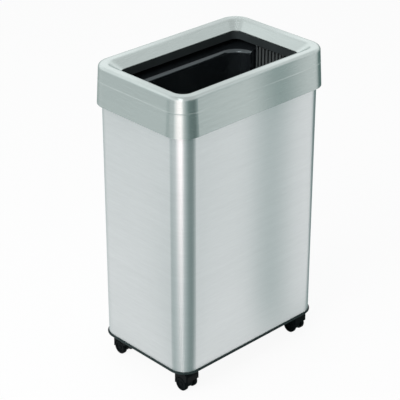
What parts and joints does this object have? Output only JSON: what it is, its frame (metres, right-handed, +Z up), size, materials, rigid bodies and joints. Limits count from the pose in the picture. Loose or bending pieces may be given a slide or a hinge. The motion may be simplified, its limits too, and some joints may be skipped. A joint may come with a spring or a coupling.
{
  "type": "wheeled open top trash can",
  "caption": "Rectangular open-top trash can with a steel body, lift-off funnel lid with an odour filter, bag ring and swivelling twin-wheel casters.",
  "frame": {"origin": "on the floor, under the middle of the body", "axes": "+X along the long side towards the filter end, +Y from the front long side to the back one, +Z up"},
  "size_m": [0.431, 0.285, 0.6955],
  "materials": {
    "body_steel": "fine horizontal brushing, satin",
    "lid_steel": "satin, finer grain than the body",
    "base_plastic": "black, satin moulded",
    "frame_plastic": "black, satin moulded",
    "ring_plastic": "black, glossy moulded",
    "caster_plastic": "black moulded nylon",
    "wheel_plastic": "black moulded nylon tread",
    "fastener_steel": "zinc-plated steel",
    "carbon_pad": "black carbon foam"
  },
  "bodies": {
    "can": {"body_shell": "body_steel", "base_pan": "base_plastic", "base_screws": "fastener_steel", "socket_sleeves": "fastener_steel", "grip_rings": "fastener_steel", "caster_fl_stem": "fastener_steel", "caster_fr_stem": "fastener_steel", "caster_rl_stem": "fastener_steel", "caster_rr_stem": "fastener_steel"},
    "bag_ring": {"bag_ring": "ring_plastic"},
    "lid": {"lid_shell": "lid_steel", "lid_inner_frame": "frame_plastic", "filter_housing": "frame_plastic", "gate_pins": "fastener_steel", "filter_cartridge": "carbon_pad", "filter_screws": "fastener_steel"},
    "filter_gate": {"filter_gate": "frame_plastic"},
    "caster_fl": {"caster_fl_hood": "caster_plastic", "caster_fl_axle": "fastener_steel"},
    "caster_fl_wheel_a": {"caster_fl_wheel_a": "wheel_plastic"},
    "caster_fl_wheel_b": {"caster_fl_wheel_b": "wheel_plastic"},
    "caster_fr": {"caster_fr_hood": "caster_plastic", "caster_fr_axle": "fastener_steel"},
    "caster_fr_wheel_a": {"caster_fr_wheel_a": "wheel_plastic"},
    "caster_fr_wheel_b": {"caster_fr_wheel_b": "wheel_plastic"},
    "caster_rl": {"caster_rl_hood": "caster_plastic", "caster_rl_axle": "fastener_steel"},
    "caster_rl_wheel_a": {"caster_rl_wheel_a": "wheel_plastic"},
    "caster_rl_wheel_b": {"caster_rl_wheel_b": "wheel_plastic"},
    "caster_rr": {"caster_rr_hood": "caster_plastic", "caster_rr_axle": "fastener_steel"},
    "caster_rr_wheel_a": {"caster_rr_wheel_a": "wheel_plastic"},
    "caster_rr_wheel_b": {"caster_rr_wheel_b": "wheel_plastic"}
  },
  "joints": [
    {"name": "ring_lift", "type": "slide", "parent": "can", "child": "bag_ring", "axis": [0, 0, 1], "range_m": [0, 0.12]},
    {"name": "lid_lift", "type": "slide", "parent": "bag_ring", "child": "lid", "axis": [0, 0, 1], "range_m": [0, 0.12]},
    {"name": "filter_gate_swing", "type": "hinge", "parent": "lid", "child": "filter_gate", "pos_m": [0.1781, 0, 0.654], "axis": [0, 1, 0], "range_deg": [0, 80]},
    {"name": "caster_fl_swivel", "type": "hinge", "parent": "can", "child": "caster_fl", "pos_m": [-0.169, -0.1, 0.04], "axis": [0, 0, 1], "continuous": true},
    {"name": "caster_fl_wheel_a_spin", "type": "hinge", "parent": "caster_fl", "child": "caster_fl_wheel_a", "pos_m": [-0.182, -0.103, 0.016], "axis": [1, 0, 0], "continuous": true},
    {"name": "caster_fl_wheel_b_spin", "type": "hinge", "parent": "caster_fl", "child": "caster_fl_wheel_b", "pos_m": [-0.156, -0.103, 0.016], "axis": [1, 0, 0], "continuous": true},
    {"name": "caster_fr_swivel", "type": "hinge", "parent": "can", "child": "caster_fr", "pos_m": [0.169, -0.1, 0.04], "axis": [0, 0, 1], "continuous": true},
    {"name": "caster_fr_wheel_a_spin", "type": "hinge", "parent": "caster_fr", "child": "caster_fr_wheel_a", "pos_m": [0.156, -0.103, 0.016], "axis": [1, 0, 0], "continuous": true},
    {"name": "caster_fr_wheel_b_spin", "type": "hinge", "parent": "caster_fr", "child": "caster_fr_wheel_b", "pos_m": [0.182, -0.103, 0.016], "axis": [1, 0, 0], "continuous": true},
    {"name": "caster_rl_swivel", "type": "hinge", "parent": "can", "child": "caster_rl", "pos_m": [-0.169, 0.1, 0.04], "axis": [0, 0, 1], "continuous": true},
    {"name": "caster_rl_wheel_a_spin", "type": "hinge", "parent": "caster_rl", "child": "caster_rl_wheel_a", "pos_m": [-0.182, 0.097, 0.016], "axis": [1, 0, 0], "continuous": true},
    {"name": "caster_rl_wheel_b_spin", "type": "hinge", "parent": "caster_rl", "child": "caster_rl_wheel_b", "pos_m": [-0.156, 0.097, 0.016], "axis": [1, 0, 0], "continuous": true},
    {"name": "caster_rr_swivel", "type": "hinge", "parent": "can", "child": "caster_rr", "pos_m": [0.169, 0.1, 0.04], "axis": [0, 0, 1], "continuous": true},
    {"name": "caster_rr_wheel_a_spin", "type": "hinge", "parent": "caster_rr", "child": "caster_rr_wheel_a", "pos_m": [0.156, 0.097, 0.016], "axis": [1, 0, 0], "continuous": true},
    {"name": "caster_rr_wheel_b_spin", "type": "hinge", "parent": "caster_rr", "child": "caster_rr_wheel_b", "pos_m": [0.182, 0.097, 0.016], "axis": [1, 0, 0], "continuous": true}
  ]
}
